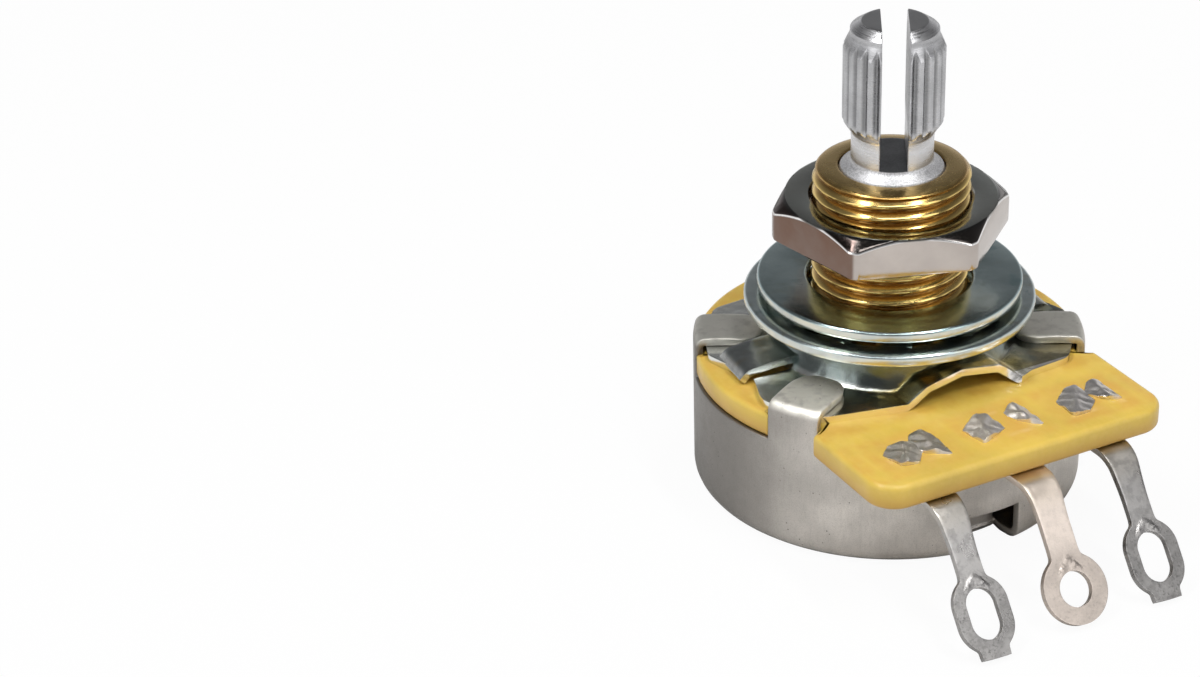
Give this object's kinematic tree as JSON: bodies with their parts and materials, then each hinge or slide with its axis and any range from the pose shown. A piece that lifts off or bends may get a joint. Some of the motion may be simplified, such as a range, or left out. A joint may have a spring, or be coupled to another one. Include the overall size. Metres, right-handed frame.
{
  "type": "rotary potentiometer",
  "caption": "Panel-mount rotary potentiometer: steel can, phenolic terminal board with solder lugs, threaded brass bushing with nut and washers, and a split knurled shaft.",
  "frame": {"origin": "centre of the can's flat back, on the shaft axis", "axes": "+Z along the shaft towards its tip, -Y towards the solder lugs, +X to the right seen from the lugs with the shaft up"},
  "size_m": [0.0238, 0.0336, 0.0297],
  "materials": {
    "can_steel": "satin nickel plate, lightly tarnished",
    "phenolic_board": "smooth laminated phenolic",
    "carbon_track": "matt printed carbon",
    "tinned_lug": "tinned, dull",
    "tinned_collector": "tinned, pinkish",
    "zinc_plate": "zinc plate with an iridescent passivation",
    "bushing_brass": "bright cut brass",
    "zinc_washer": "zinc plate with an iridescent passivation",
    "nickel_nut": "bright nickel plate",
    "shaft_aluminium": "turned, satin",
    "spring_steel": "oiled spring steel",
    "rotor_phenolic": "moulded phenolic",
    "wiper_bronze": "spring bronze"
  },
  "bodies": {
    "housing": {"rear_cover": "can_steel", "element_board": "phenolic_board", "resistive_track": "carbon_track", "terminal_left": "tinned_lug", "terminal_center": "tinned_collector", "terminal_right": "tinned_lug", "mounting_plate": "zinc_plate", "threaded_bushing": "bushing_brass", "thrust_washer": "spring_steel", "lock_washer": "zinc_washer", "flat_washer": "zinc_washer"},
    "spindle": {"shaft": "shaft_aluminium", "retaining_ring": "spring_steel", "rotor": "rotor_phenolic", "wiper_contact": "wiper_bronze"},
    "nut": {"hex_nut": "nickel_nut"}
  },
  "joints": [
    {"name": "shaft_turn", "type": "hinge", "parent": "housing", "child": "spindle", "pos_m": [0, 0, 0.012], "axis": [0, 0, 1], "range_deg": [-150, 150]},
    {"name": "nut_travel", "type": "slide", "parent": "housing", "child": "nut", "axis": [0, 0, 1], "range_m": [-0.00284, 0.0017]}
  ]
}
